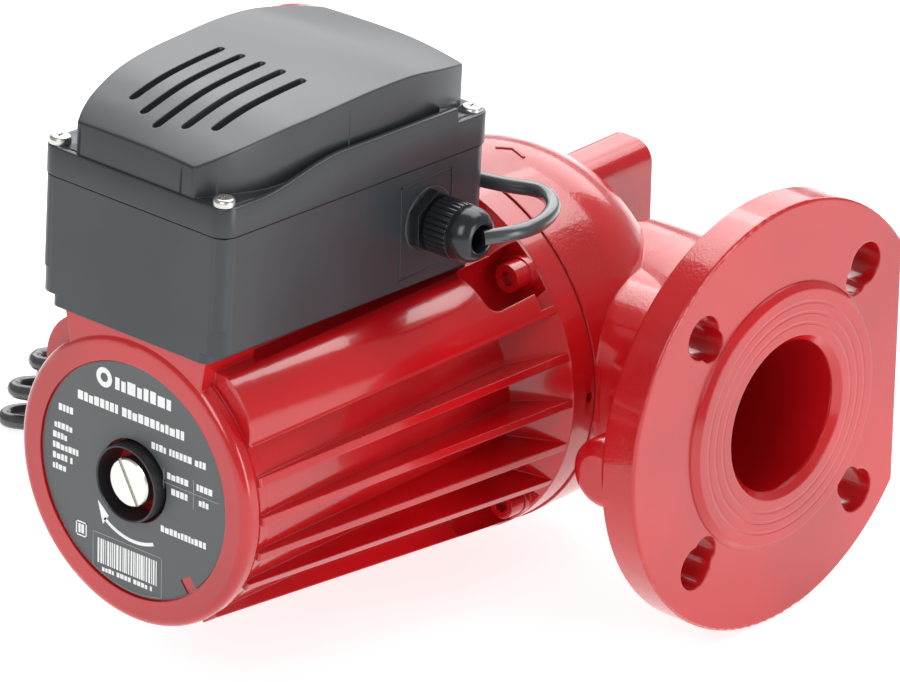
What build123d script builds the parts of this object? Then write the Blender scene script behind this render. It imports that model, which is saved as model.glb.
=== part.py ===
from build123d import *
import math
import os

# In-line wet-rotor circulator pump with DN 65 flanges, in millimetres.
# The pipe runs along X, the shaft along Y (motor towards -Y) and Z is up.
# Everything is worked out about the pump's centre, where the pipe and the shaft axes cross,
# and is moved by -ORIGIN_X in X when written. The origin is then on the pipe axis, in the face
# of the outlet flange in which its bolt holes open.

os.makedirs("parts", exist_ok=True)

# Pipework
FACE = 150.0            # pump centre to each flange's raised face
FLANGE_R = 92.5
FLANGE_T = 17.3
RAISED_R = 57.5
RAISED_T = 3.2
ORIGIN_X = FACE - RAISED_T
BORE_R = 32.5
CHAMFER = 3.0
OUTLET_HOLE_R = 9.5     # M16 bolts on the larger bolt circle
INLET_HOLE_R = 9.0
BIG_PCD = 145.0
SMALL_HOLE_R = 7.0      # M12 bolts on the smaller bolt circle
SMALL_PCD = 130.0
FLAT_Y = 74.4           # back of the pump: flange flats and foot
FOOT_HALF_X = 12.6
FOOT_HALF_Z = 57.0
BARREL_R = 79.5
SEAM_Y = -37.0          # joint between casing and motor
CHAMBER_R = 62.0
PLATE_R = 67.4
IMPELLER_R = 54.0

# Motor
MOTOR_FRONT_Y = -229.5
MOTOR_REAR_Y = -37.4
RING_R = 62.4           # front ring round the label
CORE_R = 61.0
MOTOR_FLANGE_R = 78.8
MOTOR_FLANGE_T = 13.6
FIN_T = 3.6
FIN_FRONT_R = 63.6
FIN_ANGLES = (-30, -15, 0, 15, 30)
FOOT_RIB_ANGLES = (-56, -76)
FIN_REAR_R = 78.4
BOLT_CIRCLE_R = 72.0
BOLT_ANGLES = (45, 135, 225, 315)
STATOR_R = 52.0
CAN_R = 29.6
ROTOR_R = 28.5
SHAFT_R = 7.0
BEARING_GAP = 0.05
HUB_GAP = 0.02
LABEL_R = 50.2
LABEL_Y = -228.5
COLLAR_R = 17.8
PLUG_R = 10.4
PLUG_SHANK_R = 7.0

# Terminal box, drawn level with its joint line at z = 0 and its front at y = 0, then tilted
BOX_X = -2.75
BOX_PLACE = Location((BOX_X, -228.7, 119.3), (-2.2, 0, 0))
BOX_HALF_X = 50.25
BOX_LEN = 159.5
BOX_DEPTH = 55.5
BOX_STEP = 50.6         # depth of the full width; below it the tray is narrower
TRAY_HALF_X = 42.5
BOX_WALL = 3.0
COVER_LOW = 12.5        # cover ledge at the corners
COVER_HIGH = 20.0       # cover ledge along the sides
SCREW_X = 44.3
SCREW_Y = (5.5, 152.8)
DOME_SECTIONS = [         # along the box, half width, height of the middle, drop to the sides
    (1.2, 31.7, 26.4, 1.2),
    (14.0, 38.0, 31.0, 1.8),
    (28.0, 41.6, 35.0, 2.4),
    (50.0, 44.4, 39.3, 3.0),
    (80.0, 45.2, 41.2, 3.4),
    (110.0, 44.9, 40.8, 3.4),
    (135.0, 42.6, 38.2, 3.2),
    (153.5, 38.0, 34.8, 2.8),
]
SLOT_X = (-22.0, -11.0, 0.0, 11.0, 22.0)
TERMINAL_X = (-1.0, 11.0, 23.0, 35.0)

# Cable gland and lead
GLAND_Y = -107.0
GLAND_Z = 90.5
GLAND_END_X = 76.0
LEAD_R = 3.25
TABLE_Z = -FLANGE_R
LEAD_ROUTE = [
    (76.0, -107.0, 90.5),
    (88.0, -104.0, 91.5),
    (91.0, -85.0, 90.5),
    (84.0, -63.0, 89.5),
    (66.0, -48.0, 89.0),
    (44.0, -51.0, 88.5),
    (20.0, -58.0, 89.0),
    (-8.0, -58.5, 89.5),
    (-36.0, -56.0, 89.0),
    (-64.0, -57.0, 80.0),
    (-84.0, -62.0, 58.0),
    (-97.0, -67.0, 31.0),
    (-103.0, -71.0, 2.0),
    (-107.0, -74.0, -27.0),
    (-113.0, -76.0, -54.0),
    (-121.0, -76.0, -73.0),
    (-134.0, -71.0, -85.5),
    (-147.0, -59.0, -89.2),
    (-155.0, -46.0, -89.2),
    (-160.0, -37.5, -89.2),
]
COIL_CENTRE = (-183.6, -59.9)
COIL_ANGLE = 40.9           # the long way of the folded coil, from X
COIL_LEN = 80.0
COIL_WIDTH = 27.0
COIL_EYE_LEN = 56.0
COIL_EYE_WIDTH = 10.0
COIL_H = 34.0
TAIL_ROUTE = [
    (-163.0, -33.0, -63.0),
    (-174.0, -18.0, -66.0),
    (-196.0, -4.0, -70.0),
    (-230.0, 1.0, -73.5),
    (-256.0, 6.0, -74.0),
    (-266.0, 22.0, -74.0),
    (-258.0, 40.0, -74.0),
    (-240.0, 46.0, -74.0),
    (-224.0, 46.0, -74.0),
]
PLUG_AXIS = (46.0, -74.0)   # y, z of the mains plug's axis
PLUG_X = (-210.0, -174.0)
PIN_OFFSET = 9.5            # half of the standard 19 mm between pin centres


def rod(radius, start, end):
    """Solid cylinder from start to end."""
    span = Vector(*end) - Vector(*start)
    return Solid.make_cylinder(radius, span.length, Plane(origin=start, z_dir=span))


def tube(outer, inner, start, end):
    """Straight tube from start to end."""
    return rod(outer, start, end) - rod(inner, start, end)


def disc(radius, y0, y1):
    """Cylinder on the shaft axis from y0 to y1."""
    return rod(radius, (0, y0, 0), (0, y1, 0))


def ring(outer, inner, y0, y1):
    """Ring on the shaft axis from y0 to y1."""
    return disc(outer, y0, y1) - disc(inner, y0, y1)


def block(x0, x1, y0, y1, z0, z1):
    """Box between two opposite corners."""
    return Pos((x0 + x1) / 2, (y0 + y1) / 2, (z0 + z1) / 2) * Box(x1 - x0, y1 - y0, z1 - z0)


def turned(line):
    """Solid of revolution about the shaft axis from a closed profile of radius and y."""
    return revolve(make_face(line), Axis.Y)


def hex_bar(across_flats, start, end):
    """Hexagonal bar from start to end."""
    span = Vector(*end) - Vector(*start)
    plane = Plane(origin=start, z_dir=span)
    return extrude(plane * RegularPolygon(across_flats / 2, 6, major_radius=False), span.length)


def around(part, angles):
    """Copies of a part turned about the shaft axis, an angle of 0 being +X and 90 being +Z."""
    return [Rot(0, -angle, 0) * part for angle in angles]


def save(name, shape):
    """Write one node, moved so that the middle of the outlet flange is the origin."""
    solids = shape.solids() if hasattr(shape, "solids") else shape
    moved = [Pos(-ORIGIN_X, 0, 0) * solid for solid in solids]
    export_step(moved[0] if len(moved) == 1 else Compound(children=moved), f"parts/{name}.step")


# ---------------------------------------------------------------- casing

def flange(side):
    """Pipe flange with its raised face, keyhole bolt holes and the flat at the back."""
    x_back = side * (FACE - RAISED_T - FLANGE_T)
    x_face = side * (FACE - RAISED_T)
    plate = rod(FLANGE_R, (x_back, 0, 0), (x_face, 0, 0))
    plate = fillet(plate.edges().filter_by(GeomType.CIRCLE), 1.2)
    raised = rod(RAISED_R, (x_back, 0, 0), (side * FACE, 0, 0))
    rim = raised.edges().filter_by(GeomType.CIRCLE).sort_by(Axis.X)[-1 if side > 0 else 0]
    plate = plate + chamfer(rim, 2.6)
    big_hole_r = OUTLET_HOLE_R if side > 0 else INLET_HOLE_R
    for angle in BOLT_ANGLES:
        holes = [(BIG_PCD / 2, big_hole_r), (SMALL_PCD / 2, SMALL_HOLE_R)]
        for radius, hole_r in holes:
            y = radius * math.cos(math.radians(angle))
            z = radius * math.sin(math.radians(angle))
            plate = plate - rod(hole_r, (x_back - side * 5, y, z), (side * (FACE + 5), y, z))
    return plate - block(-200, 200, FLAT_Y, FLAT_Y + 60, -120, 120)


def barrel():
    """Round body of the casing, tapering to a rounded edge at the back."""
    line = Line((0, SEAM_Y), (BARREL_R, SEAM_Y))
    line = line + Line((BARREL_R, SEAM_Y), (BARREL_R, -14))
    line = line + Spline((BARREL_R, -14), (77.2, 2), (72.6, 14), (65.5, 26))
    line = line + Line((65.5, 26), (46, 33)) + Line((46, 33), (0, 33)) + Line((0, 33), (0, SEAM_Y))
    return turned(line)


def foot():
    """Upright web on the back of the casing, with rounded ends, on which the pump can be set."""
    web = block(-FOOT_HALF_X, FOOT_HALF_X, 10, FLAT_Y, -FOOT_HALF_Z, FOOT_HALF_Z)
    return fillet(web.edges().filter_by(Axis.Y), 9.0)


def suction_passage():
    """Space from the inlet bore, bent behind the impeller to its eye."""
    stations = [(-122, 0, BORE_R), (-76, 24, 28), (-30, 29, 27), (6, 29, 26)]
    sections = [Plane(origin=(x, y, 0), z_dir=(1, 0, 0)) * Circle(r) for x, y, r in stations]
    space = loft(sections) + Pos(6, 29, 0) * Sphere(26)
    return space + rod(BORE_R, (-FACE - 5, 0, 0), (-121.9, 0, 0))


def neck(side):
    """Outer shape of a pipe neck: it widens to the flange and leans back towards the body."""
    sections = []
    for x, y, radius in ((40, 30.0, 43.0), (70, 27.0, 45.3), (100, 18.5, 49.8), (132, 8.0, 55.5)):
        sections.append(Plane(origin=(side * x, y, 0), z_dir=(1, 0, 0)) * Circle(radius))
    return loft(sections)


def pump_casing():
    """Cast iron volute casing with its flanges, foot, tapping boss and inner passages."""
    body = barrel() + foot() + rod(BORE_R + 6.5, (-135, 0, 0), (135, 0, 0))
    for side in (-1, 1):
        body = body + neck(side)
    body = body - disc(BARREL_R + 3, -60, SEAM_Y)
    tapping = rod(15.0, (127, -40, -3), (127, -92, -3))
    body = body + fillet(tapping.edges().group_by(Axis.Y)[0], 6.0)
    for side in (-1, 1):
        body = body + flange(side)
    body = body - disc(PLATE_R + 0.3, SEAM_Y - 1, -34.9)
    body = body - disc(CHAMBER_R, -36, -8) - disc(29.0, -9, 6)
    body = body - suction_passage()
    body = body - rod(BORE_R, (70, 0, 0), (FACE + 5, 0, 0)) - rod(26.0, (50, -6, 0), (71, -6, 0))
    for side in (-1, 1):
        edge = Plane(origin=(side * (FACE + 0.01), 0, 0), z_dir=(-side, 0, 0))
        body = body - Solid.make_cone(BORE_R + CHAMFER, BORE_R, CHAMFER, edge)
    for spot in around(rod(3.4, (BOLT_CIRCLE_R, SEAM_Y - 1, 0), (BOLT_CIRCLE_R, -18, 0)), BOLT_ANGLES):
        body = body - spot
    return body


# ---------------------------------------------------------------- motor

def housing_outline():
    """Turned part of the motor housing: front ring, core, cone and rear flange."""
    rear_face = MOTOR_REAR_Y - MOTOR_FLANGE_T
    line = Line((0, MOTOR_FRONT_Y), (RING_R - 4.0, MOTOR_FRONT_Y))
    line = line + ThreePointArc((RING_R - 4.0, MOTOR_FRONT_Y), (RING_R - 1.1, -228.2), (RING_R, -225.3))
    points = [(RING_R, -225.3), (RING_R, -222.5), (CORE_R + 0.6, -220.5), (CORE_R, -215), (CORE_R, -70)]
    points = points + [(MOTOR_FLANGE_R - 0.8, rear_face), (MOTOR_FLANGE_R, rear_face + 0.8)]
    points = points + [(MOTOR_FLANGE_R, MOTOR_REAR_Y), (0, MOTOR_REAR_Y), (0, MOTOR_FRONT_Y)]
    return turned(line + Polyline(points))


def fin(thickness, rear_r, front_y=-221.0):
    """Cooling fin along +X whose tip rises from the front ring to the rear flange."""
    rear_y = MOTOR_REAR_Y - MOTOR_FLANGE_T + 1
    corners = [(50, front_y), (FIN_FRONT_R, front_y), (rear_r, rear_y), (50, rear_y)]
    blade = Pos(0, 0, -thickness / 2) * extrude(make_face(Polyline(corners, close=True)), thickness)
    return fillet(blade.edges().filter_by(Axis.Z).group_by(Axis.X)[-2], 1.0)


def shoulder(side):
    """Smooth bulge between the top fin and the pedestal, lofted from front to rear."""
    sections = []
    for y, tip_r in ((-221.0, 63.0), (-120.0, 72.0), (-58.0, 77.5)):
        tip = (tip_r * math.cos(math.radians(29)), tip_r * math.sin(math.radians(29)))
        bulge = ((tip[0] + 42) / 2 + 4.0, (tip[1] + 57) / 2 + 3.0)
        outline = ThreePointArc(tip, bulge, (42, 57)) + Polyline([(42, 57), (20, 57), (20, 20), tip])
        plane = Plane(origin=(0, y, 0), x_dir=(1, 0, 0), z_dir=(0, -1, 0))
        sections.append(plane * make_face(outline))
    bulge = loft(sections)
    return bulge if side > 0 else mirror(bulge, Plane.YZ)


def pedestal():
    """Seat for the terminal box on top of the housing, full width at its front."""
    front = [(-35.5, 49), (35.5, 49), (40, 75), (-40, 75)]
    rear = [(-33, 45), (33, 45), (33, 75), (-33, 75)]
    seat = Plane(origin=(0, -199, 0), x_dir=(1, 0, 0), z_dir=(0, -1, 0))
    neck = Plane(origin=(0, -64, 0), x_dir=(1, 0, 0), z_dir=(0, -1, 0))
    solid = extrude(seat * make_face(Polyline(front, close=True)), 29.5)
    return solid + extrude(neck * make_face(Polyline(rear, close=True)), 137)


def motor_housing():
    """Die-cast housing with fins, shoulders, foot ribs and the seat for the terminal box."""
    body = housing_outline() + pedestal()
    for side in (-1, 1):
        body = body + shoulder(side)
    for blade in around(fin(FIN_T, FIN_REAR_R), FIN_ANGLES + tuple(180 - a for a in FIN_ANGLES)):
        body = body + blade
    for blade in around(fin(9.0, FIN_REAR_R), (FOOT_RIB_ANGLES[0], 180 - FOOT_RIB_ANGLES[0])):
        body = body + blade
    for blade in around(fin(6.0, FIN_REAR_R - 3), (FOOT_RIB_ANGLES[1], 180 - FOOT_RIB_ANGLES[1])):
        body = body + blade
    # the seat is planed to the tilted underside of the box
    body = body - BOX_PLACE * block(-70, 70, -5, 170, -BOX_DEPTH, 60)
    # pockets round the four bolts, then the bolt bosses and holes
    for pocket in around(rod(12.5, (BOLT_CIRCLE_R, -84, 0), (BOLT_CIRCLE_R, -51, 0)), BOLT_ANGLES):
        body = body - fillet(pocket.edges().group_by(Axis.Y)[0], 6.0)
    for boss in around(rod(7.6, (BOLT_CIRCLE_R - 1, -54, 0), (BOLT_CIRCLE_R - 1, -50, 0)), BOLT_ANGLES):
        body = body + boss
    for hole in around(rod(4.2, (BOLT_CIRCLE_R, -60, 0), (BOLT_CIRCLE_R, -30, 0)), BOLT_ANGLES):
        body = body - hole
    body = body - rod(1.9, (74, -40.2, -1), (90, -40.2, -1))
    # inside: stator bore, front hole, register for the bearing plate, label recess, wiring hole
    body = body - disc(STATOR_R, -208, -30) - disc(PLATE_R + 0.3, -41.5, -30)
    body = body - disc(COLLAR_R + 0.1, -235, -220.5) - disc(PLUG_SHANK_R + 0.06, -235, -200)
    body = body - disc(LABEL_R + 0.6, -235, LABEL_Y + 0.5)
    body = body - rod(8.0, (0, -120, 40), (0, -120, 90))
    return body - rod(2.0, (76.5, -40.5, 0), (85, -40.5, 0))


def housing_bolts():
    """Four socket-head screws from the motor flange into the casing."""
    head = rod(6.2, (BOLT_CIRCLE_R, -62, 0), (BOLT_CIRCLE_R, -54, 0))
    head = head - hex_bar(6.0, (BOLT_CIRCLE_R, -62.5, 0), (BOLT_CIRCLE_R, -58, 0))
    bolt = head + rod(3.9, (BOLT_CIRCLE_R, -54, 0), (BOLT_CIRCLE_R, -37.2, 0))
    bolt = bolt + rod(3.35, (BOLT_CIRCLE_R, -37.2, 0), (BOLT_CIRCLE_R, -20, 0))
    return around(bolt, BOLT_ANGLES)


def stator_winding(y0, y1):
    """Rounded end turns of the stator winding."""
    coil = ring(STATOR_R - 3, CAN_R + 3, y0, y1)
    return fillet(coil.edges().filter_by(GeomType.CIRCLE), 4.0)


def rotor_can():
    """Thin stainless liner between rotor and stator, open at the pump side."""
    can = ring(CAN_R, CAN_R - 0.7, -207.5, -41.4) + ring(CAN_R, PLUG_SHANK_R + 1.2, -207.9, -207.2)
    return can + ring(PLATE_R - 0.5, CAN_R - 0.7, -41.4, -40.8)


def bearing_plate():
    """Stainless plate that closes the motor towards the pump and carries the rear bearing."""
    plate = disc(PLATE_R, -40.7, -35) + disc(CAN_R - 0.9, -52, -40)
    return plate - disc(14.0, -55, -30)


def rating_label():
    """Printed face disc, with the notch that fits over a lug of the housing."""
    label = ring(LABEL_R, COLLAR_R + 0.1, LABEL_Y, LABEL_Y + 0.45)
    return label - Rot(0, 50, 0) * block(44, 60, LABEL_Y - 1, LABEL_Y + 1, -3, 3)


def plug_collar():
    """Dark collar round the vent plug, proud of the label."""
    return ring(COLLAR_R, 15.9, -234, -220.6)


# ---------------------------------------------------------------- rotor

def shaft():
    """Rotor shaft from the front bearing to the impeller nut."""
    return chamfer(disc(SHAFT_R, -201, -8).edges().group_by(Axis.Y)[0], 0.8)


def impeller():
    """Rear shroud, hub and six backward-curved vanes."""
    hub_r = SHAFT_R + HUB_GAP
    wheel = ring(IMPELLER_R, hub_r, -33, -30) + ring(12.0, hub_r, -33, -14)
    for angle in range(0, 360, 60):
        path = ThreePointArc((15, 0), (36, 13), (52, 6))
        blade = make_face(offset(path, 1.1))
        wheel = wheel + Rot(0, angle, 0) * extrude(Plane.XZ * blade, amount=-10.2).moved(Pos(0, -30.1, 0))
    return wheel


def impeller_cover():
    """Front shroud with the eye ring that runs in the wear ring."""
    return ring(IMPELLER_R, 22.0, -19.9, -17) + ring(25.0, 22.0, -18, -3)


def impeller_nut():
    """Hexagon nut that holds the impeller on the shaft."""
    return hex_bar(17.0, (0, -14, 0), (0, -9, 0)) - disc(SHAFT_R + HUB_GAP, -20, 0)


# ---------------------------------------------------------------- vent plug

def vent_plug():
    """Slotted screw plug in the middle of the motor's front."""
    plug = disc(PLUG_R, -231.7, -222.5) + disc(PLUG_SHANK_R, -222.6, -210)
    plug = chamfer(plug.edges().group_by(Axis.Y)[0], 0.6)
    return plug - Rot(0, 60, 0) * block(-15, 15, -235, -230.2, -0.8, 0.8)


def vent_plug_seal():
    """O-ring under the plug's head."""
    return ring(9.4, PLUG_SHANK_R + 0.06, -222.45, -220.55)


# ---------------------------------------------------------------- terminal box

def rounded_prism(half_x, y0, y1, z0, z1, radius):
    """Upright prism with rounded corners, in the box's own level frame."""
    prism = block(-half_x, half_x, y0, y1, z0, z1)
    return fillet(prism.edges().filter_by(Axis.Z), radius)


def terminal_box_base():
    """Plastic base with a narrower tray below it, screw pillars and the gland hole."""
    base = rounded_prism(BOX_HALF_X - 0.8, 0.8, BOX_LEN - 0.8, -BOX_STEP, -0.6, 7.0)
    base = base + rounded_prism(TRAY_HALF_X, 0.8, BOX_LEN - 0.8, -BOX_DEPTH, -BOX_STEP + 1, 4.0)
    inner = rounded_prism(BOX_HALF_X - BOX_WALL - 0.8, 4, BOX_LEN - 4, -BOX_DEPTH + 7, 5, 4.5)
    base = base - inner
    for x in (-SCREW_X, SCREW_X):
        for y in SCREW_Y:
            base = base + rod(4.6, (x, y, -40), (x, y, -0.6)) - rod(1.7, (x, y, -20), (x, y, 1))
    base = base - rod(8.0, (-BOX_X, 108.7, -BOX_DEPTH - 5), (-BOX_X, 108.7, 0))
    for x, y in box_fixings():
        base = base - rod(2.6, (x, y, -BOX_DEPTH - 5), (x, y, 0))
    placed = BOX_PLACE * base
    return placed - rod(8.05, (30, GLAND_Y, GLAND_Z), (60, GLAND_Y, GLAND_Z))


def box_fixings():
    """Places of the screws that hold the base to its seat, in the box's frame."""
    return [(-24, 22), (24, 22), (-24, 140), (24, 140)]


def box_fixing_screws():
    """Four screws that hold the base to its seat."""
    screws = []
    for x, y in box_fixings():
        head = rod(4.5, (x, y, -BOX_DEPTH + 7), (x, y, -BOX_DEPTH + 10))
        screws.append(BOX_PLACE * (head + rod(2.5, (x, y, -BOX_DEPTH), (x, y, -BOX_DEPTH + 8))))
    return screws


def box_gasket():
    """Seal between base and cover."""
    outer = rounded_prism(BOX_HALF_X - 1.2, 1.2, BOX_LEN - 1.2, -0.6, -0.1, 6.6)
    inner = rounded_prism(BOX_HALF_X - 3.1, 3.1, BOX_LEN - 3.1, -1, 1, 3.0)
    return BOX_PLACE * (outer - inner)


def cover_ledge():
    """Skirt of the cover, low at the corner screws and higher along the sides."""
    line = Polyline([(BOX_LEN, 0), (0, 0), (0, COVER_LOW), (22, COVER_LOW)])
    line = line + Spline((22, COVER_LOW), (45, 16.2), (68, COVER_HIGH), tangents=((1, 0), (1, 0)))
    low = COVER_LOW + 1.2
    line = line + Polyline([(68, COVER_HIGH), (138, COVER_HIGH), (138, low), (BOX_LEN, low), (BOX_LEN, 0)])
    side_view = Plane(origin=(-60, 0, 0), x_dir=(0, 1, 0), z_dir=(1, 0, 0)) * make_face(line)
    return extrude(side_view, 120) & rounded_prism(BOX_HALF_X, 0, BOX_LEN, 0, 30, 7.5)


def dome():
    """Crowned top of the cover: a bell-shaped plan, arched both ways, as sections along its length."""
    sections = []
    for y, half, crest, drop in DOME_SECTIONS:
        edge = crest - drop
        outline = ThreePointArc((-half, edge), (0, crest), (half, edge))
        outline = outline + Polyline([(half, edge), (half, 5), (-half, 5), (-half, edge)])
        sections.append(Plane(origin=(0, y, 0), x_dir=(1, 0, 0), z_dir=(0, -1, 0)) * make_face(outline))
    return loft(sections)


def terminal_box_cover():
    """Cover with its dome, blind slots, hollow inside and screw holes."""
    channels = block(-BOX_HALF_X + 3, BOX_HALF_X - 3, 24, 137, COVER_LOW + 3, 40)
    cover = (cover_ledge() - channels) + dome()
    cover = cover - rounded_prism(30.0, 5, BOX_LEN - 10, -1, COVER_LOW + 9.5, 4)
    lowered = Pos(0, 0, -2.5) * dome()
    for index, x in enumerate(SLOT_X):
        front = 12.5 + 5.0 * abs(index - 2)
        cover = cover - (block(x - 1.6, x + 1.6, front, 74, 26, 50) - lowered)
    for x in (-SCREW_X, SCREW_X):
        for y in SCREW_Y:
            cover = cover - rod(2.1, (x, y, -1), (x, y, 30)) - rod(5.2, (x, y, COVER_LOW), (x, y, 40))
    return BOX_PLACE * cover


def cover_screws():
    """Four pan-head screws with cross recesses."""
    screws = []
    for x in (-SCREW_X, SCREW_X):
        for y in SCREW_Y:
            head = rod(4.6, (x, y, COVER_LOW), (x, y, COVER_LOW + 3.2))
            head = fillet(head.edges().group_by(Axis.Z)[-1], 1.6)
            for turn in (0, 90):
                cross = Pos(x, y, COVER_LOW + 3.2) * Rot(0, 0, turn + 20) * Box(4.4, 0.9, 2.4)
                head = head - cross
            screws.append(BOX_PLACE * (head + rod(1.65, (x, y, COVER_LOW - 24), (x, y, COVER_LOW))))
    return screws


def terminal_block():
    """Insulated block with three ways and an earth way."""
    body = block(-7, 41, 52, 74, -BOX_DEPTH + 7, -BOX_DEPTH + 23)
    for x in TERMINAL_X:
        body = body - rod(3.0, (x, 63, -BOX_DEPTH + 14), (x, 63, 0))
        body = body - rod(2.0, (x, 50, -BOX_DEPTH + 13), (x, 76, -BOX_DEPTH + 13))
    return BOX_PLACE * body


def terminal_screws():
    """Clamping screws of the terminal block."""
    floor = -BOX_DEPTH + 14
    return [BOX_PLACE * rod(2.7, (x, 63, floor), (x, 63, floor + 6)) for x in TERMINAL_X]


def earth_screw():
    """Earth screw in the floor of the box."""
    floor = -BOX_DEPTH + 7
    return BOX_PLACE * (rod(4.0, (30, 92, floor), (30, 92, floor + 3)))


def capacitor():
    """Run capacitor lying along the box."""
    can = rod(13.0, (-26, 28, -26), (-26, 46, -26)) + rod(13.0, (-26, 46, -26), (-26, 100, -26))
    return BOX_PLACE * fillet(can.edges().filter_by(GeomType.CIRCLE), 1.5)


def capacitor_clip():
    """Saddle that holds the capacitor to the floor of the box."""
    saddle = block(-41, -11, 86, 92, -BOX_DEPTH + 7, -26)
    return BOX_PLACE * (saddle - rod(13.05, (-26, 80, -26), (-26, 100, -26)))


# ---------------------------------------------------------------- gland, lead and plug

def gland_part(radius, x0, x1):
    """Cylinder on the gland's axis."""
    return rod(radius, (x0, GLAND_Y, GLAND_Z), (x1, GLAND_Y, GLAND_Z))


def gland_body():
    """Hexagonal body with its threaded spigots."""
    body = hex_bar(24.0, (47.0, GLAND_Y, GLAND_Z), (52.5, GLAND_Y, GLAND_Z))
    body = body + gland_part(8.0, 34, 48) + gland_part(8.6, 52, 62)
    return body - gland_part(LEAD_R + 1.4, 30, 80)


def gland_locknut():
    """Thin nut inside the box."""
    return hex_bar(20.0, (38.8, GLAND_Y, GLAND_Z), (42.8, GLAND_Y, GLAND_Z)) - gland_part(8.02, 30, 50)


def gland_seal():
    """Rubber bush that grips the lead."""
    return gland_part(LEAD_R + 1.35, 50, 66) - gland_part(LEAD_R + 0.02, 40, 70)


def gland_nut():
    """Ribbed cap nut with a domed nose."""
    nut = gland_part(12.0, 53, 66)
    for index in range(36):
        angle = math.radians(index * 10)
        y = GLAND_Y + 12.2 * math.cos(angle)
        z = GLAND_Z + 12.2 * math.sin(angle)
        nut = nut - rod(0.55, (52, y, z), (64.5, y, z))
    nose = Plane(origin=(65.9, GLAND_Y, GLAND_Z), z_dir=(1, 0, 0))
    nut = nut + Solid.make_cone(11.4, 7.4, GLAND_END_X - 65.9, nose)
    return nut - gland_part(8.65, 50, 64) - gland_part(LEAD_R + 1.4, 60, 80)


def route_tube(name, route):
    """Tube along straight runs joined by arcs as large as the runs allow."""
    points = [Vector(*point) for point in route]
    radii = []
    for before, here, after in zip(points, points[1:], points[2:]):
        turn = math.radians((here - before).get_angle(after - here))
        shorter = min((here - before).length, (after - here).length)
        radii.append(0.45 * shorter / math.tan(turn / 2))
    path = FilletPolyline(*points, radius=radii)
    section = Plane(origin=points[0], z_dir=points[1] - points[0]) * Circle(LEAD_R)
    solid = sweep(section, path=path)
    expected = math.pi * LEAD_R ** 2 * path.length
    print(name, "radii", [round(r, 1) for r in radii], "length", round(path.length, 1))
    print(name, "volume over expected", round(solid.volume / expected, 4))
    return solid


def lead_coil():
    """Outer shape of the part of the lead that lies folded in long turns."""
    flat = SlotOverall(COIL_LEN, COIL_WIDTH) - SlotOverall(COIL_EYE_LEN, COIL_EYE_WIDTH)
    coil = Rot(0, 0, COIL_ANGLE) * extrude(flat, COIL_H)
    coil = Pos(COIL_CENTRE[0], COIL_CENTRE[1], TABLE_Z) * coil
    return fillet(coil.edges().group_by(Axis.Z)[-1], 3.0)


def mains_plug():
    """Round earthed plug with its moulded sleeve."""
    y, z = PLUG_AXIS
    body = rod(18.4, (PLUG_X[0], y, z), (PLUG_X[1], y, z))
    body = fillet(body.edges().filter_by(GeomType.CIRCLE), 3.0)
    sleeve = Solid.make_cone(5.2, 9.0, 15, Plane(origin=(PLUG_X[0] - 14, y, z), z_dir=(1, 0, 0)))
    body = body + sleeve
    for offset in (-PIN_OFFSET, PIN_OFFSET):
        body = body - rod(2.45, (PLUG_X[1] - 10, y + offset, z), (PLUG_X[1] + 1, y + offset, z))
    return body


def plug_pins():
    """Two round contact pins."""
    y, z = PLUG_AXIS
    pins = []
    for offset in (-PIN_OFFSET, PIN_OFFSET):
        pin = rod(2.4, (PLUG_X[1] - 10, y + offset, z), (PLUG_X[1] + 19, y + offset, z))
        pins.append(fillet(pin.edges().group_by(Axis.X)[-1], 1.2))
    return pins


# ---------------------------------------------------------------- write every node

save("pump_casing", pump_casing())
save("wear_ring", ring(28.98, 25.3, -10, -1))
save("casing_gasket", ring(78.6, 76.2, MOTOR_REAR_Y, SEAM_Y))
save("motor_housing", motor_housing())
save("housing_bolts", ShapeList(housing_bolts()))
save("stator_core", ring(STATOR_R - 0.02, CAN_R + 0.1, -170, -80))
save("winding_front", stator_winding(-200, -170.1))
save("winding_rear", stator_winding(-79.9, -55))
save("rotor_can", rotor_can())
save("bearing_plate", bearing_plate())
save("front_bearing", ring(CAN_R - 0.75, SHAFT_R + BEARING_GAP, -205, -193))
save("rear_bearing", ring(13.98, SHAFT_R + BEARING_GAP, -51.5, -36.5))
save("rating_label", rating_label())
save("plug_collar", plug_collar())
save("shaft", shaft())
save("rotor_core", ring(ROTOR_R, SHAFT_R + HUB_GAP, -172, -78))
save("thrust_disc", ring(13.0, SHAFT_R + HUB_GAP, -56, -53))
save("impeller", impeller())
save("impeller_cover", impeller_cover())
save("impeller_nut", impeller_nut())
save("vent_plug", vent_plug())
save("vent_plug_seal", vent_plug_seal())
save("terminal_box_base", terminal_box_base())
save("box_fixing_screws", ShapeList(box_fixing_screws()))
save("box_gasket", box_gasket())
save("terminal_box_cover", terminal_box_cover())
save("cover_screws", ShapeList(cover_screws()))
save("terminal_block", terminal_block())
save("terminal_screws", ShapeList(terminal_screws()))
save("earth_screw", earth_screw())
save("capacitor", capacitor())
save("capacitor_clip", capacitor_clip())
save("gland_body", gland_body())
save("gland_locknut", gland_locknut())
save("gland_seal", gland_seal())
save("gland_nut", gland_nut())
save("power_lead", route_tube("power_lead", LEAD_ROUTE))
save("lead_coil", lead_coil())
save("lead_tail", route_tube("lead_tail", TAIL_ROUTE))
save("mains_plug", mains_plug())
save("plug_pins", ShapeList(plug_pins()))
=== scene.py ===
"""Looks of an in-line circulator pump, built around its fixed frame of solids.

Shapes are worked out in the pump's own frame, in millimetres: X along the pipe, Y along the
shaft with the motor towards -Y, Z up, and the origin where the two axes cross. Every mesh is
moved into the row's frame, in metres, as it is made.
"""

import logging
import math
from dataclasses import dataclass, field
from enum import Enum

import bmesh
import bpy
import numpy as np
from mathutils import Matrix, Vector


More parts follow.
